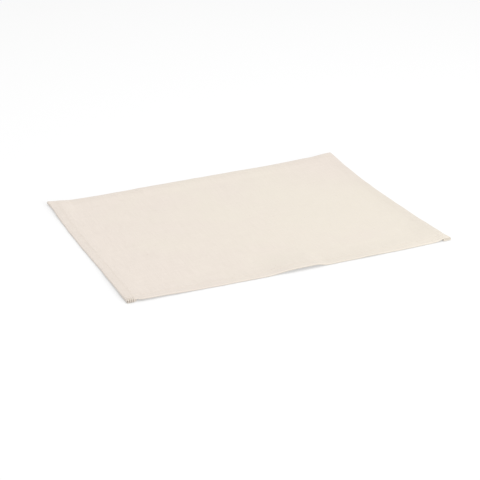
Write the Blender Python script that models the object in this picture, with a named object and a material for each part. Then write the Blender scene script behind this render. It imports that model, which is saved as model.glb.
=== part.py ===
"""A fabric placemat: one panel of natural cotton canvas with a double-turned hem on all four sides.

It lies flat on a table. The folded corners are the thickest places and hold the hems beside them a
little off the table, the sides bow unevenly as sewn cloth does, and the front hem lifts in a long low wave
and a small one.

Metres, +Z up. The origin is in the middle of the underside. +X runs along the mat's length, to the
right, and +Y runs to its back long side.
"""
import math
from collections import namedtuple

import bmesh
import bpy

# Driving sizes
LENGTH = 0.400  # finished, along X
WIDTH = 0.300  # finished, along Y
PLY = 0.0010  # one ply of canvas
HEM_WIDTH = 0.012  # turned to the underside
HEM_PLIES = 0.0019  # three plies, pressed
CORNER_PLIES = 0.0034  # an end hem folded over a long hem, its inner plies clipped, pressed
HEM_SLOPE = 0.020  # over which the panel comes down from a hem to the table
FOLD_ROUND = 0.0008  # rounding of the folded rim
CORNER_ROUND = 0.0009  # rounding of the corners, seen from above
ON_TABLE = 0.00003  # cloth closer to the table than this lies on it

# Spacing of the mesh
HEM_STEP = 0.0006  # across the underside's step at a hem's inner edge
RIM_STRIP = 0.003  # from the rim to the next row of points
SLOPE_ROWS = 3  # rows of points down a hem's slope
PANEL_PITCH = 0.0125  # across the rest of the panel
ROUND_STEPS = 2  # faces across a rounded rim

FABRIC_COLOUR = (0.61, 0.55, 0.48, 1.0)
FABRIC_ROUGHNESS = 0.95

# Each corner's plies hold the cloth up, and it comes down to its own height over these reaches.
Corner = namedtuple("Corner", "x_side y_side reach_along_x reach_along_y")
CORNERS = (
    Corner(x_side=-1, y_side=-1, reach_along_x=0.085, reach_along_y=0.120),
    Corner(x_side=+1, y_side=-1, reach_along_x=0.022, reach_along_y=0.075),
    Corner(x_side=+1, y_side=+1, reach_along_x=0.090, reach_along_y=0.095),
    Corner(x_side=-1, y_side=+1, reach_along_x=0.020, reach_along_y=0.070),
)

# How far out of the true rectangle each side lies, at even steps from its left or front end
FRONT_OUT = (-0.0022, -0.0013, -0.0001, 0.0009, 0.0010, 0.0012, 0.0013, 0.0008, -0.0013)
BACK_OUT = (-0.0039, -0.0059, -0.0051, -0.0032, -0.0024, -0.0011, -0.0005, 0.0008, 0.0005)
LEFT_OUT = (0.0008, 0.0008, 0.0006, 0.0014, 0.0015, 0.0009, -0.0004)
RIGHT_OUT = (0.0002, -0.0014, -0.0023, -0.0035, -0.0033, -0.0018, 0.0000)

# Corners that stick out a little, as stiff folded ones do: how far, over what reach, and how far up
Ear = namedtuple("Ear", "x_side y_side reach out_x out_y lift")
EARS = (
    Ear(x_side=+1, y_side=-1, reach=0.016, out_x=0.0016, out_y=0.0000, lift=0.0000),
    Ear(x_side=+1, y_side=+1, reach=0.037, out_x=0.0004, out_y=0.0010, lift=0.0020),
    Ear(x_side=-1, y_side=+1, reach=0.010, out_x=0.0014, out_y=0.0000, lift=0.0009),
)

# Where the front hem is off the table: each wave's crest from left to right, how far it runs on to both
# sides and into the panel, and its height
Wave = namedtuple("Wave", "crest_left crest_right left_run right_run depth lift")
WAVES = (
    Wave(crest_left=0.000, crest_right=0.024, left_run=0.036, right_run=0.015, depth=0.045, lift=0.0026),
    Wave(crest_left=0.090, crest_right=0.096, left_run=0.014, right_run=0.018, depth=0.025, lift=0.0006),
)

HALF_LENGTH = LENGTH / 2
HALF_WIDTH = WIDTH / 2


def falling(share):
    """From 1 at 0, smoothly to 0 at 1 and beyond."""
    return 0.5 + 0.5 * math.cos(math.pi * min(max(share, 0.0), 1.0))


def hem_lift(inside):
    """How much of a hem's height the panel keeps, at this distance inside the rim."""
    return falling((inside - HEM_WIDTH) / HEM_SLOPE)


def corner_lift(corner, x, y):
    """How much of the stack's height the cloth keeps at x, y."""
    past_x = HALF_LENGTH - corner.x_side * x - HEM_WIDTH
    past_y = HALF_WIDTH - corner.y_side * y - HEM_WIDTH
    return falling(past_x / corner.reach_along_x) * falling(past_y / corner.reach_along_y)


def wave_lift(wave, x, y):
    along = falling((wave.crest_left - x) / wave.left_run) * falling((x - wave.crest_right) / wave.right_run)
    into_panel = falling((y + HALF_WIDTH - HEM_WIDTH) / wave.depth)
    return wave.lift * along * into_panel


def ear_share(ear, x, y):
    return falling(math.hypot(HALF_LENGTH - ear.x_side * x, HALF_WIDTH - ear.y_side * y) / ear.reach)


def top_height(x, y):
    """Height of the mat's upper surface over the table."""
    lower = (1 - hem_lift(HALF_LENGTH - abs(x))) * (1 - hem_lift(HALF_WIDTH - abs(y)))
    height = PLY + (HEM_PLIES - PLY) * (1 - lower)
    height += (CORNER_PLIES - HEM_PLIES) * sum(corner_lift(c, x, y) for c in CORNERS)
    height += sum(ear.lift * ear_share(ear, x, y) for ear in EARS)
    return height + sum(wave_lift(w, x, y) for w in WAVES)


def plies(x, y):
    """Thickness of the cloth: one ply, a hem's three, or nine where two hems cross."""
    on_hem = HEM_WIDTH + HEM_STEP / 2
    end_hem = HALF_LENGTH - abs(x) < on_hem
    long_hem = HALF_WIDTH - abs(y) < on_hem
    if end_hem and long_hem:
        return CORNER_PLIES
    return HEM_PLIES if end_hem or long_hem else PLY


def out_at(offsets, share):
    """The smooth curve through a side's offsets, at share from -1 to 1 of the way along it."""
    place = (share + 1) / 2 * (len(offsets) - 1)
    k = min(int(place), len(offsets) - 2)
    part = place - k
    here, ahead = offsets[k], offsets[k + 1]
    before = offsets[k - 1] if k else 2 * here - ahead
    beyond = offsets[k + 2] if k + 2 < len(offsets) else 2 * ahead - here
    slope_here, slope_ahead = (ahead - before) / 2, (beyond - here) / 2
    square = 3 * (ahead - here) - 2 * slope_here - slope_ahead
    cube = 2 * (here - ahead) + slope_here + slope_ahead
    return here + slope_here * part + square * part**2 + cube * part**3


def in_plan(x, y):
    """Where the point x, y of the true rectangle lies on the sewn mat, seen from above."""
    u, v = x / HALF_LENGTH, y / HALF_WIDTH
    plan_x = x + (out_at(RIGHT_OUT, v) * (1 + u) - out_at(LEFT_OUT, v) * (1 - u)) / 2
    plan_y = y + (out_at(BACK_OUT, u) * (1 + v) - out_at(FRONT_OUT, u) * (1 - v)) / 2
    for ear in EARS:
        share = ear_share(ear, x, y)
        plan_x += ear.x_side * ear.out_x * share
        plan_y += ear.y_side * ear.out_y * share
    return plan_x, plan_y


def stations(half):
    """Rows of points across the mat: close at each hem and its slope, even between them."""
    inner = half - HEM_WIDTH
    foot = inner - HEM_SLOPE
    near_rim = [half, half - RIM_STRIP, inner, inner - HEM_STEP]
    near_rim += [inner - HEM_SLOPE * (row + 1) / SLOPE_ROWS for row in range(SLOPE_ROWS)]
    count = round(2 * foot / PANEL_PITCH)
    between = [-foot + 2 * foot * (k + 1) / count for k in range(count - 1)]
    return [-s for s in near_rim] + between + near_rim[::-1]


def flat_panel(mesh, columns, rows):
    """The upper face, as a grid whose points lie at the stations."""
    bmesh.ops.create_grid(mesh, x_segments=len(columns) - 1, y_segments=len(rows) - 1, size=1.0)
    for vert in mesh.verts:
        column = round((vert.co.x + 1) / 2 * (len(columns) - 1))
        row = round((vert.co.y + 1) / 2 * (len(rows) - 1))
        vert.co = (columns[column], rows[row], 0.0)


def give_thickness(mesh):
    """Extrudes the upper face into a closed solid, and sets both faces to their heights."""
    extruded = bmesh.ops.extrude_face_region(mesh, geom=mesh.faces[:])
    lower = {item for item in extruded["geom"] if isinstance(item, bmesh.types.BMVert)}
    for vert in mesh.verts:
        x, y = vert.co.x, vert.co.y
        top = top_height(x, y)
        height = top - plies(x, y) if vert in lower else top
        vert.co = (*in_plan(x, y), height)
    bmesh.ops.recalc_face_normals(mesh, faces=mesh.faces[:])


def is_upright(face):
    return abs(face.normal.z) < 0.2 and not is_hem_step(face)


def is_hem_step(face):
    """The underside's small steps lie inside the rim by about the width of a hem."""
    centre = face.calc_center_median()
    near = HEM_WIDTH / 2
    return abs(centre.x) < HALF_LENGTH - near and abs(centre.y) < HALF_WIDTH - near


def round_rim(mesh):
    """Rounds the four upright corners, and then the folded rim above and below."""
    walls = [face for face in mesh.faces if is_upright(face)]
    uprights = [
        edge
        for edge in {edge for face in walls for edge in face.edges}
        if all(face in walls for face in edge.link_faces) and edge.calc_face_angle() > math.radians(60)
    ]
    bmesh.ops.bevel(
        mesh, geom=uprights, offset=CORNER_ROUND, segments=ROUND_STEPS, profile=0.5, affect="EDGES"
    )
    walls = {face for face in mesh.faces if is_upright(face)}
    rim = [edge for edge in mesh.edges if len(walls.intersection(edge.link_faces)) == 1]
    bmesh.ops.bevel(mesh, geom=rim, offset=FOLD_ROUND, segments=ROUND_STEPS, profile=0.5, affect="EDGES")


def press_to_table(mesh):
    """Makes the underside one flat face wherever it is a hair above or below the table."""
    for vert in mesh.verts:
        if abs(vert.co.z) < ON_TABLE:
            vert.co.z = 0.0


def canvas_material():
    material = bpy.data.materials.new("natural_canvas")
    material.use_nodes = True
    shader = material.node_tree.nodes["Principled BSDF"]
    shader.inputs["Base Color"].default_value = FABRIC_COLOUR
    shader.inputs["Roughness"].default_value = FABRIC_ROUGHNESS
    shader.inputs["Metallic"].default_value = 0.0
    return material


def build_placemat(collection):
    mesh = bmesh.new()
    flat_panel(mesh, stations(HALF_LENGTH), stations(HALF_WIDTH))
    give_thickness(mesh)
    round_rim(mesh)
    press_to_table(mesh)
    data = bpy.data.meshes.new("placemat")
    mesh.to_mesh(data)
    mesh.free()
    data.shade_smooth()
    data.set_sharp_from_angle(angle=math.radians(40))
    data.materials.append(canvas_material())
    collection.objects.link(bpy.data.objects.new("placemat", data))


def main():
    for old in list(bpy.data.objects):
        bpy.data.objects.remove(old, do_unlink=True)
    collection = bpy.data.collections.new("fabric placemat")
    bpy.context.scene.collection.children.link(collection)
    build_placemat(collection)


main()
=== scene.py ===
"""The looks of a fabric placemat: natural cotton canvas, hemmed on all four sides with matching thread.

The mat is one piece of canvas. Its long sides are turned under twice and sewn, and then its ends, so that
three folded hems lie on each other at a corner. Here it is folded in the same way. Every point of the flat
cloth has its place in the folds, and the weave is drawn on the flat cloth, so it runs on over each fold.

Metres, in the frame of the solids: +X to the right end, +Y to the back, +Z up, the table at 0.
"""
import math
from collections import namedtuple

import bpy
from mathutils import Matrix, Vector


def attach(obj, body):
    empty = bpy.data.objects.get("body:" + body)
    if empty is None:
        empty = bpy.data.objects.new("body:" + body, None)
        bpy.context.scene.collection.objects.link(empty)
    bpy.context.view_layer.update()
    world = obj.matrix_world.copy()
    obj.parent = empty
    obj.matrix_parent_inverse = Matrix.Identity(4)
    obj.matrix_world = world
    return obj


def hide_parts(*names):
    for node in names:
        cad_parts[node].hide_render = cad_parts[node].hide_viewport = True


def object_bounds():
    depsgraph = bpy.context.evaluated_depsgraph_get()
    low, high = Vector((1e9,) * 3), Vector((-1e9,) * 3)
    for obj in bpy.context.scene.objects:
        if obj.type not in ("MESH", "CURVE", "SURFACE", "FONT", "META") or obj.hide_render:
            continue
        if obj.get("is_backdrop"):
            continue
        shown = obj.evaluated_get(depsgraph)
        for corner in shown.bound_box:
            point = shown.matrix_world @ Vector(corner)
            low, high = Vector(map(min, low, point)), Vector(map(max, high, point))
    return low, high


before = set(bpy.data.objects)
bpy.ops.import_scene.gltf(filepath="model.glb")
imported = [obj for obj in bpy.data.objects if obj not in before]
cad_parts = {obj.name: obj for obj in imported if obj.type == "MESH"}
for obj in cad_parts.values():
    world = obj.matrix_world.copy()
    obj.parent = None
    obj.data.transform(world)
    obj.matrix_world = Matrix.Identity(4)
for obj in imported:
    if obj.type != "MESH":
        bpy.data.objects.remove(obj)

SOLIDS_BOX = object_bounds()

# The cloth and its hems
LENGTH = 0.400  # finished, along X
WIDTH = 0.300  # finished, along Y
TURNED = 0.022  # cloth that each hem takes: 12 mm, and 10 mm turned inside it
HEM_WIDTH = 0.012
CLOTH_PLY = 0.0006
PANEL_TOP = 0.0010  # height of the single cloth over the table, where the hems don't lift it
HEM_PLIES = 0.0019  # height of a pressed hem
CORNER_PLIES = 0.0034  # height of an end hem folded over a long hem, pressed
HEM_SLOPE = 0.020  # over which the single cloth comes down from a hem
STEP_WIDTH = 0.0024  # the soft step just inside a hem
STEP_SHARE = 0.16  # of the way down, within that step
CORNER_BLEND = 0.006  # over which the cloth beside a corner goes from one ply to a folded hem
PLY_INSET = 0.0001  # each ply of a corner stands back this much from the one above it
# At the front right corner each ply stands out a little instead, and the end hem is folded narrower
FRONT_RIGHT_STAGGER = 0.0008
NARROWER = 0.0022
NARROWER_REACH = 0.030  # along the end hem
STAGGER_START, STAGGER_FULL = 0.1870, 0.1895  # x over which its plies begin to stand out
STAGGER_REACH = 0.006  # into the mat

HALF_LENGTH = LENGTH / 2
HALF_WIDTH = WIDTH / 2

# How the finished mat lies. Each corner's plies hold the cloth up over these reaches.
Corner = namedtuple("Corner", "x_side y_side reach_along_x reach_along_y")
CORNERS = (
    Corner(x_side=-1, y_side=-1, reach_along_x=0.085, reach_along_y=0.120),
    Corner(x_side=+1, y_side=-1, reach_along_x=0.022, reach_along_y=0.075),
    Corner(x_side=+1, y_side=+1, reach_along_x=0.090, reach_along_y=0.095),
    Corner(x_side=-1, y_side=+1, reach_along_x=0.020, reach_along_y=0.070),
)

# How far out of the true rectangle each side lies, at even steps from its left or front end
FRONT_OUT = (-0.0022, -0.0013, -0.0001, 0.0009, 0.0010, 0.0012, 0.0013, 0.0008, -0.0013)
BACK_OUT = (-0.0039, -0.0059, -0.0051, -0.0032, -0.0024, -0.0011, -0.0005, 0.0008, 0.0005)
LEFT_OUT = (0.0008, 0.0008, 0.0006, 0.0014, 0.0015, 0.0009, -0.0004)
RIGHT_OUT = (0.0002, -0.0014, -0.0023, -0.0035, -0.0033, -0.0018, 0.0000)
UNEVEN = 0.00012  # small unevenness along each rim, which starts elsewhere on each
LEFT_START, RIGHT_START, FRONT_START, BACK_START = 0.4, 2.9, 1.7, 4.6

# Corners that stick out a little, as stiff folded ones do: how far, over what reach, and how far up
Ear = namedtuple("Ear", "x_side y_side reach out_x out_y lift")
EARS = (
    Ear(x_side=+1, y_side=-1, reach=0.016, out_x=0.0016, out_y=0.0000, lift=0.0000),
    Ear(x_side=+1, y_side=+1, reach=0.037, out_x=0.0004, out_y=0.0010, lift=0.0020),
    Ear(x_side=-1, y_side=+1, reach=0.010, out_x=0.0014, out_y=0.0000, lift=0.0009),
)

# Where the front hem is off the table: each wave's crest from left to right, how far it runs on to both
# sides and into the panel, and its height
Wave = namedtuple("Wave", "crest_left crest_right left_run right_run depth lift")
WAVES = (
    Wave(crest_left=0.000, crest_right=0.024, left_run=0.036, right_run=0.015, depth=0.045, lift=0.0026),
    Wave(crest_left=0.090, crest_right=0.096, left_run=0.014, right_run=0.018, depth=0.025, lift=0.0006),
)

# Small places where the sewing has gathered or pressed the cloth
Pucker = namedtuple("Pucker", "x y half_x half_y lift")
PUCKERS = (
    Pucker(x=-0.079, y=0.143, half_x=0.011, half_y=0.022, lift=0.00040),
    Pucker(x=-0.002, y=0.144, half_x=0.013, half_y=0.018, lift=0.00032),
    Pucker(x=0.055, y=0.145, half_x=0.016, half_y=0.015, lift=0.00018),
    Pucker(x=0.188, y=0.035, half_x=0.016, half_y=0.012, lift=0.00022),
    Pucker(x=-0.190, y=-0.020, half_x=0.017, half_y=0.014, lift=0.00020),
    Pucker(x=-0.025, y=-0.135, half_x=0.013, half_y=0.012, lift=-0.00026),
    Pucker(x=0.179, y=-0.150, half_x=0.013, half_y=0.022, lift=-0.00080),
    Pucker(x=0.1845, y=-0.150, half_x=0.0055, half_y=0.014, lift=-0.00060),
)
RIPPLE = 0.00009  # height of the small ripples along a seam
RIPPLE_REACH = 0.013  # to each side of the hem's inner edge
SWELL = 0.00022  # height of the panel's long low swells

# The sewing
SEAM_INSET = 0.010  # from the rim to the line of stitches
SEAM_DIP = 0.00006  # how far the stitches press the cloth in, on each face
SEAM_DIP_REACH = 0.0012
SEAM_END = 0.0016  # from the rim to a seam's last stitch
SEAM_END_UNDER = 0.0012  # from the end hem to a long seam's last stitch, on the underside
STITCH_PITCH = 0.0030
STITCH_GAP = 0.00035  # between one stitch and the next
THREAD_RADIUS = 0.00019
THREAD_GIRTH = 2 * math.pi * THREAD_RADIUS
TWIST_PITCH = 0.00085  # along the thread
TWIST_DEPTH = 0.00006
WHIP_STITCHES = (-0.1980, -0.1958, -0.1936, -0.1914)  # x of each, over the front left corner's open end
WHIP_PITCH = 0.0022
WHIP_RADIUS = 0.00029
PINCH_DEPTH = 0.0003  # how far a whip stitch presses the cloth in
WHIP_STRAND = 0.85  # in radii, from a stitch's middle to the middle of each of its two strands
OPEN_END_INSET = 0.0013  # how far the plies stand back at that open end
OPEN_END_START, OPEN_END_FULL = 0.1810, 0.1880  # distance from the middle over which they begin to
OPEN_END_REACH = 0.0035  # into the mat

# Spacing of the mesh
PANEL_PITCH = 0.0032
SLOPE_ROWS = (0.030, 0.028, 0.026, 0.024, 0.022, 0.020, 0.018, 0.016, 0.0145)  # inside the rim
HEM_ROWS = (0.0134, 0.0126, 0.0118, 0.011, 0.0105, 0.01, 0.0095, 0.009, 0.008, 0.0065, 0.005, 0.0035, 0.0022)
UNDER_SHARES = (0.15, 0.3, 0.45, 0.6, 0.7, 0.77, 0.82, 0.868, 0.916, 0.964, 1.0)
RIM_STEPS = 8
TUCK_STEPS = 5
INSIDE_SHARES = (0.12, 0.3, 0.6, 1.0)
FACE_SIDE = +1
BACK_SIDE = -1
MAP_NAME = "cloth"  # each mesh's map: places on the flat cloth, or along and around a thread


# ------------------------------------------------------------------ how the mat lies


def falling(share):
    """1 at 0, going smoothly to 0 at 1 and beyond."""
    return 0.5 + 0.5 * math.cos(math.pi * min(max(share, 0.0), 1.0))


def rising(value, start, end):
    """0 up to start, going smoothly to 1 at end and beyond."""
    return 1 - falling((value - start) / (end - start))


def hem_lift(inside):
    """How much of a hem's height the cloth keeps, at this distance inside the rim."""
    slope = falling((inside - HEM_WIDTH) / HEM_SLOPE)
    step = falling((inside - HEM_WIDTH + STEP_WIDTH / 4) / STEP_WIDTH)
    return slope + STEP_SHARE * (step - slope)


def lowered(x, y):
    """0 on the hems, 1 where the single cloth lies on the table."""
    return (1 - hem_lift(HALF_LENGTH - abs(x))) * (1 - hem_lift(HALF_WIDTH - abs(y)))


def corner_lift(corner, x, y):
    past_x = HALF_LENGTH - corner.x_side * x - HEM_WIDTH
    past_y = HALF_WIDTH - corner.y_side * y - HEM_WIDTH
    return falling(past_x / corner.reach_along_x) * falling(past_y / corner.reach_along_y)


def wave_lift(wave, x, y):
    along = falling((wave.crest_left - x) / wave.left_run) * falling((x - wave.crest_right) / wave.right_run)
    into_panel = falling((y + HALF_WIDTH - HEM_WIDTH) / wave.depth)
    return wave.lift * along * into_panel


def ear_share(ear, x, y):
    return falling(math.hypot(HALF_LENGTH - ear.x_side * x, HALF_WIDTH - ear.y_side * y) / ear.reach)


def pucker_lift(pucker, x, y):
    return pucker.lift * falling(math.hypot((x - pucker.x) / pucker.half_x, (y - pucker.y) / pucker.half_y))


def ripple(along, start):
    """Uneven small waves between 0 and 1."""
    strength = 0.55 + 0.45 * math.sin(along / 0.0137 + 2 * start)
    return strength * (0.5 + 0.5 * math.sin(along / 0.0021 + 1.3 * math.sin(along / 0.0093 + start)))


def seam_ripples(x, y):
    """The cloth beside a seam, a little gathered by the thread."""
    beside_end = falling(abs(HALF_LENGTH - abs(x) - HEM_WIDTH) / RIPPLE_REACH)
    beside_long = falling(abs(HALF_WIDTH - abs(y) - HEM_WIDTH) / RIPPLE_REACH)
    end_start = RIGHT_START if x > 0 else LEFT_START
    long_start = BACK_START if y > 0 else FRONT_START
    return RIPPLE * (beside_end * ripple(y, end_start) + beside_long * ripple(x, long_start))


def swells(x, y):
    """Long low swells in the panel, none of them under the table's height."""
    across = 0.5 + 0.5 * math.sin(x / 0.031 + 1.1 * math.sin(y / 0.047) + 0.6)
    along = 0.5 + 0.5 * math.sin(y / 0.026 + 0.9 * math.sin(x / 0.058 + 2.0))
    return SWELL * across * along * lowered(x, y)


def top_height(x, y):
    """Height of the mat's upper face over the table."""
    height = PANEL_TOP + (HEM_PLIES - PANEL_TOP) * (1 - lowered(x, y))
    height += (CORNER_PLIES - HEM_PLIES) * sum(corner_lift(corner, x, y) for corner in CORNERS)
    height += sum(wave_lift(wave, x, y) for wave in WAVES)
    height += sum(ear.lift * ear_share(ear, x, y) for ear in EARS)
    height += sum(pucker_lift(pucker, x, y) for pucker in PUCKERS)
    return height + seam_ripples(x, y) + swells(x, y)


def out_at(offsets, share):
    """The smooth curve through a side's offsets, at share from -1 to 1 of the way along it."""
    place = min(max((share + 1) / 2, 0.0), 1.0) * (len(offsets) - 1)
    k = min(int(place), len(offsets) - 2)
    part = place - k
    here, ahead = offsets[k], offsets[k + 1]
    before = offsets[k - 1] if k else 2 * here - ahead
    beyond = offsets[k + 2] if k + 2 < len(offsets) else 2 * ahead - here
    slope_here, slope_ahead = (ahead - before) / 2, (beyond - here) / 2
    square = 3 * (ahead - here) - 2 * slope_here - slope_ahead
    cube = 2 * (here - ahead) + slope_here + slope_ahead
    return here + slope_here * part + square * part**2 + cube * part**3


def uneven(along, start):
    return UNEVEN * (math.sin(along / 0.0071 + start) + 0.7 * math.sin(along / 0.0043 + 2 * start))


def in_plan(x, y):
    """Where the point x, y of the true rectangle lies on the sewn mat, seen from above."""
    u, v = x / HALF_LENGTH, y / HALF_WIDTH
    left = out_at(LEFT_OUT, v) + uneven(y, LEFT_START)
    right = out_at(RIGHT_OUT, v) + uneven(y, RIGHT_START)
    front = out_at(FRONT_OUT, u) + uneven(x, FRONT_START)
    back = out_at(BACK_OUT, u) + uneven(x, BACK_START)
    x += (right * (1 + u) - left * (1 - u)) / 2
    y += (back * (1 + v) - front * (1 - v)) / 2
    for ear in EARS:
        share = ear_share(ear, u * HALF_LENGTH, v * HALF_WIDTH)
        x += ear.x_side * ear.out_x * share
        y += ear.y_side * ear.out_y * share
    return x, y


# ------------------------------------------------------------------ how the cloth is folded

# A place along the folded cloth: side of the middle, stage of the fold, and share of that stage
Station = namedtuple("Station", "side stage share")
STAGES = ("panel", "rim", "under", "tuck", "inside")


class Hem:
    """A double-turned hem in section: how far out, how deep and how far along the cloth a station is."""

    def __init__(self, half, thickness, height):
        self.half = half
        self.thickness = thickness
        self.height = height
        self.pitch = (height - thickness) / 2  # from one layer's middle to the next one's
        self.rim = half - self.pitch - thickness / 2  # where the cloth starts to turn under
        self.tuck = half - HEM_WIDTH + (self.pitch + thickness) / 2  # where it turns back out again
        lengths = [self.rim, math.pi * self.pitch, self.rim - self.tuck, math.pi * self.pitch / 2]
        lengths.append(half + TURNED - sum(lengths))
        self.lengths = dict(zip(STAGES, lengths))
        self.starts = {stage: sum(lengths[:k]) for k, stage in enumerate(STAGES)}

    def along_cloth(self, station):
        return self.starts[station.stage] + self.lengths[station.stage] * station.share

    def place(self, station, above):
        """Distance out from the mat's middle, and height over the mat's upper face (less than 0).

        above is how far the point lies above its layer's middle, where the cloth is still flat."""
        turn = math.pi * station.share
        run = self.lengths[station.stage] * station.share
        top = -self.thickness / 2
        if station.stage == "panel":
            return run, top + above
        if station.stage == "rim":
            radius = self.pitch + above
            return self.rim + radius * math.sin(turn), top - self.pitch + radius * math.cos(turn)
        if station.stage == "under":
            return self.rim - run, top - 2 * self.pitch - above
        if station.stage == "tuck":
            radius = self.pitch / 2 + above
            return self.tuck - radius * math.sin(turn), top - 1.5 * self.pitch - radius * math.cos(turn)
        return self.tuck + run, top - self.pitch + above


LONG_HEM = Hem(HALF_WIDTH, CLOTH_PLY, HEM_PLIES)


def narrower(x_side, y):
    """How much narrower the end hem is at this y, on the side that x_side's sign gives."""
    at_corner = falling((y + HALF_WIDTH) / NARROWER_REACH) if x_side > 0 else 0.0
    return NARROWER * at_corner


def end_hem(y):
    """The end hem at this y: it takes in one ply, or near a corner the whole of a pressed long hem."""
    inner_fold = HALF_WIDTH - HEM_WIDTH
    at_corner = rising(abs(y), inner_fold - CORNER_BLEND, inner_fold - CORNER_BLEND / 12)
    thickness = CLOTH_PLY + (CORNER_PLIES / 3 - CLOTH_PLY) * at_corner
    return Hem(HALF_LENGTH, thickness, HEM_PLIES + (CORNER_PLIES - HEM_PLIES) * at_corner)


def long_hem_height(x_side, along, y):
    """The long hem's own height, which is pressed where the end hem takes it in."""
    inner_fold = HALF_LENGTH - HEM_WIDTH + narrower(x_side, y)
    at_corner = rising(along, inner_fold - CORNER_BLEND / 2, inner_fold)
    return HEM_PLIES + (CORNER_PLIES / 3 - HEM_PLIES) * at_corner


def at_inner_fold(station):
    """1 at the end hem's inner fold, going to 0 at its rim and at the raw edge inside it."""
    shares = {"panel": 0, "rim": 0, "under": station.share, "tuck": 1, "inside": 1 - station.share}
    return shares[station.stage]


def plies_above(station):
    """How many of the end hem's three plies lie over a station, which changes smoothly round its folds."""
    turned = rising(station.share, 0.2, 1.0)
    return {"panel": 0, "rim": 2 * turned, "under": 2, "tuck": 2 - turned, "inside": 1}[station.stage]


def ply_inset(station, x, y):
    """How far a ply stands back from the corner's front or back edge, at a station of the end hem."""
    if x < 0 or y > 0:
        return PLY_INSET * plies_above(station)
    return -FRONT_RIGHT_STAGGER * plies_above(station) * at_front_right(x, y)


def at_front_right(x, y):
    """1 at the rim of the front right corner, going to 0 away from it."""
    return rising(x, STAGGER_START, STAGGER_FULL) * falling((y + HALF_WIDTH) / STAGGER_REACH)


def stack_height(x, y):
    """Height of all the plies of a hem at x, y."""
    if HALF_LENGTH - abs(x) < HEM_WIDTH - narrower(x, y):
        return end_hem(y).height
    return long_hem_height(x, abs(x), y)


def seam_dip(x, y):
    """How far the stitches press the cloth in."""
    from_end_seam = abs(HALF_LENGTH - abs(x) - SEAM_INSET + narrower(x, y))
    from_long_seam = abs(HALF_WIDTH - abs(y) - SEAM_INSET)
    return SEAM_DIP * falling(min(from_end_seam, from_long_seam) / SEAM_DIP_REACH)


def at_open_end(x, y):
    """1 at the rim of the front left corner, whose plies the whip stitches hold, going to 0 away from it."""
    return rising(-x, OPEN_END_START, OPEN_END_FULL) * falling((y + HALF_WIDTH) / OPEN_END_REACH)


def whip_pinch(x, y):
    """How much a whip stitch pulls the corner's plies together: 1 under a stitch, at the rim."""
    nearest = min(abs(x - stitch) for stitch in WHIP_STITCHES)
    return at_open_end(x, y) * falling(nearest / (WHIP_PITCH / 2))


def on_mat(x, y, depth):
    """Where a point of the plies lies: x, y in the true rectangle, and its height over the upper face."""
    height = stack_height(x, y)
    share_up = 1 + 2 * depth / height  # from 1 on the upper face to -1 on the lower
    pinch = whip_pinch(x, y)
    squeeze = (seam_dip(x, y) + PINCH_DEPTH * pinch) * share_up
    plan_x, plan_y = in_plan(x, y + OPEN_END_INSET * at_open_end(x, y))
    return Vector((plan_x, plan_y, top_height(x, y) + depth - squeeze))


def stations(half):
    """Rows of points across the cloth, from one raw edge to the other."""
    nominal = Hem(half, CLOTH_PLY, HEM_PLIES).rim
    first_slope = half - SLOPE_ROWS[0]
    count = round(first_slope / PANEL_PITCH)
    distances = [first_slope * k / count for k in range(count)]
    distances += [half - inside for inside in SLOPE_ROWS + HEM_ROWS]
    places = [("panel", distance / nominal) for distance in distances] + [("panel", 1.0)]
    places += [("rim", (k + 1) / RIM_STEPS) for k in range(RIM_STEPS)]
    places += [("under", share) for share in UNDER_SHARES]
    places += [("tuck", (k + 1) / TUCK_STEPS) for k in range(TUCK_STEPS)]
    places += [("inside", share) for share in INSIDE_SHARES]
    one_half = [Station(-1, stage, share) for stage, share in places[:0:-1]]
    return one_half + [Station(+1, stage, share) for stage, share in places]


def folded_row(row, columns, face):
    """Points of one row of the cloth, in the finished mat, and their places on the flat cloth."""
    out, depth = LONG_HEM.place(row, face * CLOTH_PLY / 2)
    y = row.side * out
    hem = end_hem(y)
    for column in columns:
        along = hem.along_cloth(column)
        pressed = depth * long_hem_height(column.side, along, y) / HEM_PLIES
        out, height = hem.place(column, pressed + hem.thickness / 2)
        x = column.side * (out + narrower(column.side, y) * at_inner_fold(column))
        if face == BACK_SIDE:
            height -= (PANEL_TOP - CLOTH_PLY) * lowered(x, y)
        inner_y = y * (1 - ply_inset(column, x, y) / HALF_WIDTH)
        yield on_mat(x, inner_y, height), (column.side * along, row.side * LONG_HEM.along_cloth(row))


def folded_cloth(name):
    """The whole mat as one closed sheet. Its map holds each point's place on the flat cloth, in metres."""
    columns = stations(HALF_LENGTH)
    rows = stations(HALF_WIDTH)
    points = []
    flat = []
    for face in (FACE_SIDE, BACK_SIDE):
        for row in rows:
            for point, place in folded_row(row, columns, face):
                points.append(point)
                flat.append(place)
    wide = len(columns)
    back = wide * len(rows)  # the first point of the back
    faces = []
    for j in range(len(rows) - 1):
        for i in range(wide - 1):
            a = j * wide + i
            faces.append((a, a + 1, a + wide + 1, a + wide))
            faces.append((a + back, a + back + wide, a + back + wide + 1, a + back + 1))
    border = list(range(wide)) + [(j + 1) * wide - 1 for j in range(1, len(rows))]
    border += [back - 1 - i for i in range(1, wide)] + [j * wide for j in range(len(rows) - 2, -1, -1)]
    for a, b in zip(border, border[1:]):
        faces.append((a, a + back, b + back, b))
    return mesh_piece(name, points, faces, flat)


def mesh_piece(name, points, faces, places):
    """An object from points, faces and each point's place on its map."""
    data = bpy.data.meshes.new(name)
    data.from_pydata(points, [], faces)
    layer = data.uv_layers.new(name=MAP_NAME)
    for loop in data.loops:
        layer.data[loop.index].uv = places[loop.vertex_index]
    data.validate()
    data.shade_smooth()
    data.set_sharp_from_angle(angle=math.radians(50))
    piece = bpy.data.objects.new(name, data)
    bpy.context.scene.collection.objects.link(piece)
    return piece


# ------------------------------------------------------------------ thread


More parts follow.
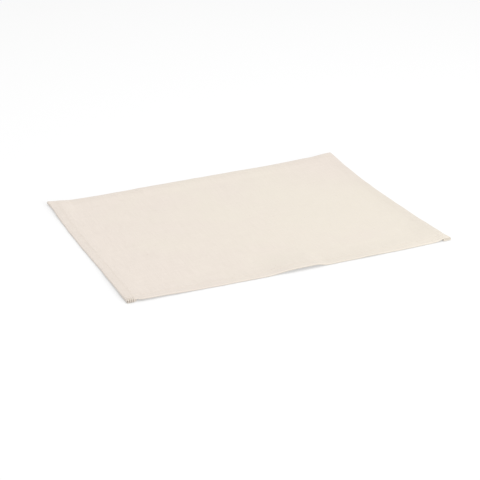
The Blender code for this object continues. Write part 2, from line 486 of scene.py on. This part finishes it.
class ThreadWork:
    """Lengths of thread that are gathered into one piece."""

    SIDES = 6

    def __init__(self):
        self.points = []
        self.faces = []
        self.places = []

    def lay(self, path, radii, sideways):
        """A length of thread along path, with its own radius at each point."""
        first = len(self.points)
        run = 0.0
        for k, point in enumerate(path):
            before, after = path[max(k - 1, 0)], path[min(k + 1, len(path) - 1)]
            run += (point - path[k - 1]).length if k else 0.0
            heading = (after - before).normalized()
            up = heading.cross(sideways).normalized()
            across = up.cross(heading)
            for side in range(self.SIDES):
                angle = 2 * math.pi * side / self.SIDES
                self.points.append(point + radii[k] * (across * math.cos(angle) + up * math.sin(angle)))
                self.places.append((run, side / self.SIDES * THREAD_GIRTH))
        for k in range(len(path) - 1):
            ring = first + k * self.SIDES
            for side in range(self.SIDES):
                after = (side + 1) % self.SIDES
                self.faces.append(
                    (ring + side, ring + after, ring + self.SIDES + after, ring + self.SIDES + side)
                )
        last = first + (len(path) - 1) * self.SIDES
        self.faces.append(tuple(first + side for side in reversed(range(self.SIDES))))
        self.faces.append(tuple(last + side for side in range(self.SIDES)))

    def piece(self, name):
        return mesh_piece(name, self.points, self.faces, self.places)


# A seam runs at a fixed distance from the middle, from -reach to reach; face is the side of the mat.
Seam = namedtuple("Seam", "along_x at reach face")


def seams():
    long_at = HALF_WIDTH - SEAM_INSET
    end_at = HALF_LENGTH - SEAM_INSET
    under_reach = HALF_LENGTH - HEM_WIDTH - SEAM_END_UNDER
    for side in (-1, +1):
        yield Seam(along_x=True, at=side * long_at, reach=HALF_LENGTH - SEAM_END, face=FACE_SIDE)
        yield Seam(along_x=True, at=side * long_at, reach=under_reach, face=BACK_SIDE)
        yield Seam(along_x=False, at=side * end_at, reach=HALF_WIDTH - SEAM_END, face=FACE_SIDE)
        yield Seam(along_x=False, at=side * end_at, reach=HALF_WIDTH - SEAM_END, face=BACK_SIDE)


def seam_point(seam, along, slant, proud):
    """A point over the seam's line, this much proud of the cloth."""
    x, y = (along, seam.at + slant) if seam.along_x else (seam.at + slant + narrower(seam.at, along), along)
    depth = proud if seam.face == FACE_SIDE else -stack_height(x, y) - proud
    return on_mat(x, y, depth)


def hem_stitches():
    """The lockstitch round the mat: short lengths that come out of the cloth and go down again."""
    work = ThreadWork()
    arch = (-0.9, 0.35, 0.62, 0.35, -0.9)  # in radii, how proud of the cloth along a stitch
    slants = (-0.55, -0.3, 0.0, 0.3, 0.55)
    thickness = (0.62, 0.95, 1.0, 0.95, 0.62)
    for seam in seams():
        count = int(2 * seam.reach / STITCH_PITCH)
        start = -count * STITCH_PITCH / 2
        for k in range(count):
            begin = start + k * STITCH_PITCH + STITCH_GAP / 2
            span = STITCH_PITCH - STITCH_GAP
            path = []
            for step in range(5):
                slant, proud = slants[step] * THREAD_RADIUS, arch[step] * THREAD_RADIUS
                path.append(seam_point(seam, begin + span * step / 4, slant, proud))
            sideways = Vector((0, 1, 0)) if seam.along_x else Vector((1, 0, 0))
            work.lay(path, [share * THREAD_RADIUS for share in thickness], sideways)
    return work.piece("hem_stitching")


# A whip stitch's course: how far in from the rim each point is, how deep below the upper face, and the
# share of the stitch's slant
WhipPoint = namedtuple("WhipPoint", "inside depth slant")
WHIP_COURSE = (
    WhipPoint(inside=0.0058, depth=0.0003, slant=1.0),
    WhipPoint(inside=0.0052, depth=-0.0002, slant=0.9),
    WhipPoint(inside=0.0030, depth=-0.0003, slant=0.6),
    WhipPoint(inside=0.0010, depth=-0.0003, slant=0.3),
    WhipPoint(inside=0.0003, depth=0.0001, slant=0.1),
    WhipPoint(inside=0.0000, depth=0.0008, slant=-0.1),
    WhipPoint(inside=0.0000, depth=0.0017, slant=-0.4),
    WhipPoint(inside=0.0002, depth=0.0026, slant=-0.7),
    WhipPoint(inside=0.0010, depth=0.0031, slant=-0.9),
    WhipPoint(inside=0.0020, depth=0.0029, slant=-1.0),
)
WHIP_SLANT = 0.0006


def whip_stitch_path(x):
    """From a needle hole on the upper face, over the corner's open end, to its lower edge."""
    path = []
    for point in WHIP_COURSE:
        over = on_mat(x, -HALF_WIDTH + point.inside, 0.0)
        plan_x, plan_y = in_plan(x + WHIP_SLANT * point.slant, -HALF_WIDTH + point.inside)
        path.append(Vector((plan_x, plan_y, over.z - point.depth)))
    return path


def whip_stitches():
    """The sewing that closes the end hem at the front left corner, with the thread taken double."""
    work = ThreadWork()
    for x in WHIP_STITCHES:
        for strand in (-1, +1):
            path = whip_stitch_path(x + strand * WHIP_RADIUS * WHIP_STRAND)
            work.lay(path, [WHIP_RADIUS] * len(path), Vector((1, 0, 0)))
    return work.piece("corner_stitches")


# ------------------------------------------------------------------ finishes


class Value:
    """A number that varies over a surface. Sums on it add Math nodes to its finish."""

    def __init__(self, finish, socket):
        self.finish = finish
        self.socket = socket

    def output(self, name):
        """Another output of the same node."""
        return Value(self.finish, self.socket.node.outputs[name])

    def math(self, operation, *values):
        return self.finish.node("ShaderNodeMath", {"operation": operation}, dict(enumerate(values)))

    def __add__(self, other):
        return self.math("ADD", self, other)

    def __radd__(self, other):
        return self.math("ADD", other, self)

    def __sub__(self, other):
        return self.math("SUBTRACT", self, other)

    def __rsub__(self, other):
        return self.math("SUBTRACT", other, self)

    def __mul__(self, other):
        return self.math("MULTIPLY", self, other)

    def __rmul__(self, other):
        return self.math("MULTIPLY", other, self)

    def __truediv__(self, other):
        return self.math("DIVIDE", self, other)

    def __abs__(self):
        return self.math("ABSOLUTE", self)

    def sine(self):
        return self.math("SINE", self)

    def or_more(self, other):
        return self.math("MAXIMUM", self, other)

    def rising(self, start, end):
        """0 up to start, going smoothly to 1 at end."""
        return self.finish.node(
            "ShaderNodeMapRange",
            {"interpolation_type": "SMOOTHSTEP"},
            {"Value": self, "From Min": start, "From Max": end},
        )


class Finish:
    """A material while it is made."""

    def __init__(self, name, constants):
        self.material = bpy.data.materials.new(name)
        self.material.use_nodes = True
        self.tree = self.material.node_tree
        self.shader = self.tree.nodes["Principled BSDF"]
        self.fill(self.shader, constants)

    def fill(self, node, values):
        for socket, value in values.items():
            if isinstance(value, Value):
                self.tree.links.new(value.socket, node.inputs[socket])
            else:
                node.inputs[socket].default_value = value

    def node(self, kind, settings, values, output=0):
        node = self.tree.nodes.new(kind)
        for name, setting in settings.items():
            setattr(node, name, setting)
        self.fill(node, values)
        return Value(self, node.outputs[output])

    def place(self):
        """The place on the flat cloth, or along and around a thread, in metres."""
        return self.node("ShaderNodeUVMap", {"uv_map": MAP_NAME}, {})

    def parts(self, vector):
        first = self.node("ShaderNodeSeparateXYZ", {}, {0: vector}, "X")
        return first, first.output("Y")

    def scaled(self, vector, per_x, per_y):
        return self.node(
            "ShaderNodeVectorMath", {"operation": "MULTIPLY"}, {0: vector, 1: (1 / per_x, 1 / per_y, 1.0)}
        )

    def noise(self, vector, size_x, size_y, detail=2.0):
        """Uneven values from about 0.2 to 0.8, in patches of this size."""
        return self.node(
            "ShaderNodeTexNoise",
            {"noise_dimensions": "2D"},
            {"Vector": self.scaled(vector, size_x, size_y), "Scale": 1.0, "Detail": detail},
        )

    def specks(self, vector, size_x, size_y):
        """For each speck, the distance to it in its own cells, and a colour of its own."""
        return self.node(
            "ShaderNodeTexVoronoi",
            {"voronoi_dimensions": "2D"},
            {"Vector": self.scaled(vector, size_x, size_y), "Scale": 1.0},
            "Distance",
        )

    def distance(self, vector, x, y):
        """How far each place is from x, y."""
        return self.node(
            "ShaderNodeVectorMath", {"operation": "DISTANCE"}, {0: vector, 1: (x, y, 0.0)}, "Value"
        )

    def spot(self, vector, spot):
        """1 in one small spot of the cloth, going to 0 at its edge."""
        return 1 - self.distance(vector, spot.x, spot.y).rising(spot.radius * 0.3, spot.radius)

    def mixed(self, share, colour, other):
        return self.node("ShaderNodeMix", {"data_type": "RGBA"}, {0: share, 6: colour, 7: other}, 2)

    def bump(self, height, distance):
        values = {"Height": height, "Distance": distance, "Strength": 1.0}
        return self.node("ShaderNodeBump", {}, values, "Normal")


YARN_PITCH = 0.00078
YARN_DRIFT = 1.6  # in yarns, how far the weave wanders from straight
YARN_RISE = 0.42  # how much higher a yarn lies where it is on top
WEAVE_DEPTH = 0.00011
EDGE_SHADE_REACH = 0.024  # painted shade: the cloth is made a little darker towards its edges, for the shade on the hems

# The knots of lint that show most, and painted shade beside two of them in the husk colour: where each lies
# on the cloth
Spot = namedtuple("Spot", "x y radius")
KNOTS = (
    Spot(x=-0.0846, y=0.0652, radius=0.0012),
    Spot(x=-0.1342, y=-0.0358, radius=0.0014),
    Spot(x=0.0747, y=-0.0870, radius=0.0011),
)
KNOT_SHADES = (
    Spot(x=-0.1374, y=-0.0426, radius=0.0011),
    Spot(x=-0.0836, y=0.0749, radius=0.0008),
)

# Linear colours
CANVAS_LIGHT = (0.631, 0.570, 0.516, 1.0)
CANVAS_DEEP = (0.573, 0.514, 0.461, 1.0)
CANVAS_STRAW_AND_LAMP_TINT = (0.613, 0.577, 0.493, 1.0)
CANVAS_EDGE_SHADE = (0.510, 0.465, 0.420, 1.0)
YARN_GAP_SHADE = (0.47, 0.41, 0.35, 1.0)
HUSK_AND_KNOT_SHADE = (0.33, 0.25, 0.18, 1.0)
LINT = (0.74, 0.69, 0.62, 1.0)
THREAD_LIGHT = (0.70, 0.645, 0.575, 1.0)
THREAD_DEEP_AND_GROOVE_SHADE = (0.58, 0.52, 0.45, 1.0)

# How strongly each of these colours the canvas
STRAW_AND_LAMP_TINT_SHARE = 0.55
EDGE_SHADE_SHARE = 0.22
SLUB_SHARE = 0.25
GAP_SHADE_SHARE = 0.34
HUSK_AND_KNOT_SHADE_SHARE = 0.6
LINT_SHARE = 0.45


def weave_height(finish, place):
    """The plain weave's relief from 0 to 1, and which yarn is on top: over 0 for the warp."""
    along, across = finish.parts(place)
    warp_drift = finish.noise(place, 0.021, 0.017)
    weft_drift = finish.noise(place, 0.016, 0.024)
    warp = (along / YARN_PITCH + warp_drift * YARN_DRIFT) * math.pi
    weft = (across / YARN_PITCH + weft_drift * YARN_DRIFT) * math.pi
    warp_wave = warp.sine()
    weft_wave = weft.sine()
    over = warp_wave * weft_wave
    warp_relief = abs(warp_wave) * (over * YARN_RISE + (1 - YARN_RISE))
    weft_relief = abs(weft_wave) * ((1 - YARN_RISE) - over * YARN_RISE)
    return warp_relief.or_more(weft_relief), over


def canvas():
    """Natural cotton canvas: uneven yarns, a few thick ones, flecks of seed husk and small knots of lint."""
    finish = Finish(
        "natural_canvas", {"Specular IOR Level": 0.25, "Sheen Weight": 0.08, "Sheen Roughness": 0.6}
    )
    place = finish.place()
    relief, over = weave_height(finish, place)

    warp_tone = finish.noise(place, YARN_PITCH * 1.3, 0.030)
    weft_tone = finish.noise(place, 0.026, YARN_PITCH * 1.3)
    warp_on_top = over.rising(-0.2, 0.2)
    tone = weft_tone + (warp_tone - weft_tone) * warp_on_top

    thick_warp = finish.noise(place, 0.0017, 0.024, 1.0).rising(0.66, 0.78)
    thick_weft = finish.noise(place, 0.030, 0.0017, 1.0).rising(0.66, 0.78)
    slubs = thick_warp.or_more(thick_weft)

    husks = finish.specks(place, 0.0085, 0.0140)
    husk_and_knot_shade = (1 - husks.rising(0.020, 0.060)) * finish.parts(husks.output("Color"))[0].rising(0.86, 0.88)
    # Painted shade of two of the knots: dark spots in the husk colour beside them, added to the random husk
    # flecks
    for knot_shade in KNOT_SHADES:
        husk_and_knot_shade = husk_and_knot_shade.or_more(finish.spot(place, knot_shade))
    husk_and_knot_shade = husk_and_knot_shade * finish.noise(place, 0.0007, 0.0005).rising(0.35, 0.60)
    knots = finish.specks(place, 0.026, 0.019)
    is_knot = (1 - knots.rising(0.012, 0.036)) * finish.parts(knots.output("Color"))[1].rising(0.70, 0.72)
    for knot in KNOTS:
        is_knot = is_knot.or_more(finish.spot(place, knot))

    along, across = finish.parts(place)  # from the middle of the flat cloth
    # Partly painted light: the straw tint grows from left to right for the lamps' colour across the mat. Its
    # broad patches are the canvas's own tone, and it fades out near the back right corner.
    broad = finish.noise(place, 0.085, 0.070)
    straw_and_lamp_tint = (broad * 0.8 + along / (LENGTH + 2 * TURNED)).rising(-0.02, 0.68)
    straw_and_lamp_tint = straw_and_lamp_tint * finish.distance(place, HALF_LENGTH, HALF_WIDTH).rising(0.03, 0.15)
    # Painted shade along the hems, left off at the front right corner, where the hems are lit
    from_unshaded_corner = finish.distance(place, HALF_LENGTH, -HALF_WIDTH)  # the front right one
    beside_end = abs(along).rising(HALF_LENGTH - EDGE_SHADE_REACH, HALF_LENGTH)
    beside_long = abs(across).rising(HALF_WIDTH - EDGE_SHADE_REACH, HALF_WIDTH)
    end_shade = beside_end * from_unshaded_corner.rising(0.012, 0.040)
    long_shade = beside_long * from_unshaded_corner.rising(0.030, 0.120)
    edge_shade = end_shade.or_more(long_shade)
    colour = finish.mixed(tone.rising(0.22, 0.78), CANVAS_DEEP, CANVAS_LIGHT)
    colour = finish.mixed(straw_and_lamp_tint * STRAW_AND_LAMP_TINT_SHARE, colour, CANVAS_STRAW_AND_LAMP_TINT)
    colour = finish.mixed(edge_shade * EDGE_SHADE_SHARE, colour, CANVAS_EDGE_SHADE)
    colour = finish.mixed(slubs * SLUB_SHARE, colour, CANVAS_LIGHT)
    # Painted shade between the yarns: the colour is darker where the weave's relief is low
    colour = finish.mixed((1 - relief).rising(0.45, 1.0) * GAP_SHADE_SHARE, colour, YARN_GAP_SHADE)
    colour = finish.mixed(husk_and_knot_shade * HUSK_AND_KNOT_SHADE_SHARE, colour, HUSK_AND_KNOT_SHADE)
    colour = finish.mixed(is_knot * LINT_SHARE, colour, LINT)

    height = relief + slubs * 0.7 + is_knot * 2.0
    finish.fill(
        finish.shader,
        {
            "Base Color": colour,
            "Roughness": 0.97 - tone * 0.10,
            "Normal": finish.bump(height, WEAVE_DEPTH),
        },
    )
    return finish.material


def thread():
    """Cotton sewing thread of the cloth's own colour, with its twist, and painted shade in the twist's
    grooves.
    """
    finish = Finish("sewing_thread", {"Specular IOR Level": 0.3, "Sheen Weight": 0.08})
    place = finish.place()
    along, around = finish.parts(place)
    turns = along / TWIST_PITCH + around / THREAD_GIRTH
    twist = (turns * (2 * math.pi)).sine() * 0.5 + 0.5
    tone = finish.noise(place, 0.0021, 0.0021)
    # Painted shade and light: darker in the grooves of the twist and lighter on its ridges, mixed with the
    # thread's own uneven tone
    colour = finish.mixed(twist * 0.55 + tone * 0.45, THREAD_DEEP_AND_GROOVE_SHADE, THREAD_LIGHT)
    finish.fill(
        finish.shader,
        {"Base Color": colour, "Roughness": 0.9 - twist * 0.12, "Normal": finish.bump(twist, TWIST_DEPTH)},
    )
    return finish.material


def pale_floor():
    """A white lit table: part of its light comes up through it, so no shadow on it is deep."""
    finish = Finish(
        "pale_floor",
        {
            "Base Color": (0.45, 0.45, 0.45, 1.0),
            "Roughness": 1.0,
            "Specular IOR Level": 0.0,
            "Emission Color": (1.0, 1.0, 1.0, 1.0),
            "Emission Strength": 0.372,
        },
    )
    return finish.material


# ------------------------------------------------------------------ the scene


FLOOR_SIZE = 8
FLOOR_DROP = 0.0002  # under the mat, whose lowest cloth would otherwise lie in the same plane


def lay_floor():
    bpy.ops.mesh.primitive_plane_add(size=FLOOR_SIZE, location=(0, 0, -FLOOR_DROP))
    floor = bpy.context.object
    floor.name = "floor"
    floor.data.materials.append(pale_floor())
    floor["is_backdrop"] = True


# Soft lamps: where each stands, how wide it is and its power
Lamp = namedtuple("Lamp", "name place size watts")
LAMPS = (
    Lamp(name="overhead", place=(0.10, 0.10, 2.00), size=1.2, watts=12.0),
    Lamp(name="front_fill", place=(0.95, -2.20, 0.75), size=1.0, watts=27.0),
)
STUDIO_STRENGTH = 1.06


def set_lights():
    """A white studio all round, a large soft lamp overhead and a weak one in front."""
    world = bpy.data.worlds.new("studio")
    world.use_nodes = True
    background = world.node_tree.nodes["Background"]
    background.inputs["Color"].default_value = (1.0, 1.0, 1.0, 1.0)
    background.inputs["Strength"].default_value = STUDIO_STRENGTH
    bpy.context.scene.world = world
    for lamp in LAMPS:
        light = bpy.data.lights.new(lamp.name, "AREA")
        light.size = lamp.size
        light.energy = lamp.watts
        stand = bpy.data.objects.new(lamp.name, light)
        stand.location = lamp.place
        stand.rotation_euler = (-Vector(lamp.place)).to_track_quat("-Z", "Y").to_euler()
        bpy.context.scene.collection.objects.link(stand)
    bpy.context.scene.view_settings.view_transform = "Standard"


CAMERA_AZIMUTH = math.radians(-24.14)  # from straight in front of the mat, to its left
CAMERA_ELEVATION = math.radians(24.71)
CAMERA_AIM = (-0.02459, -0.04874, 0.0)
CAMERA_DISTANCE = 1.5474
CAMERA_LENS = 98.94
CAMERA_SENSOR = 36


def set_camera():
    """The photograph's view: from the front left, 25 degrees up, with a long lens."""
    back = Vector(
        (
            math.sin(CAMERA_AZIMUTH) * math.cos(CAMERA_ELEVATION),
            -math.cos(CAMERA_AZIMUTH) * math.cos(CAMERA_ELEVATION),
            math.sin(CAMERA_ELEVATION),
        )
    )
    camera = bpy.data.cameras.new("camera")
    camera.sensor_width = CAMERA_SENSOR
    camera.lens = CAMERA_LENS
    camera.clip_start = 0.01
    stand = bpy.data.objects.new("camera", camera)
    stand.location = Vector(CAMERA_AIM) + back * CAMERA_DISTANCE
    stand.rotation_euler = (-back).to_track_quat("-Z", "Y").to_euler()
    bpy.context.scene.collection.objects.link(stand)
    bpy.context.scene.camera = stand


def dress(piece, finish):
    piece.data.materials.append(finish)
    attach(piece, "root")


def main():
    mat = folded_cloth("canvas_mat")
    stitching = hem_stitches()
    corner = whip_stitches()
    dress(mat, canvas())
    sewing_thread = thread()
    dress(stitching, sewing_thread)
    dress(corner, sewing_thread)
    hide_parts("placemat")
    lay_floor()
    set_lights()
    set_camera()


main()
[[list(corner) for corner in box] for box in (SOLIDS_BOX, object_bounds())]
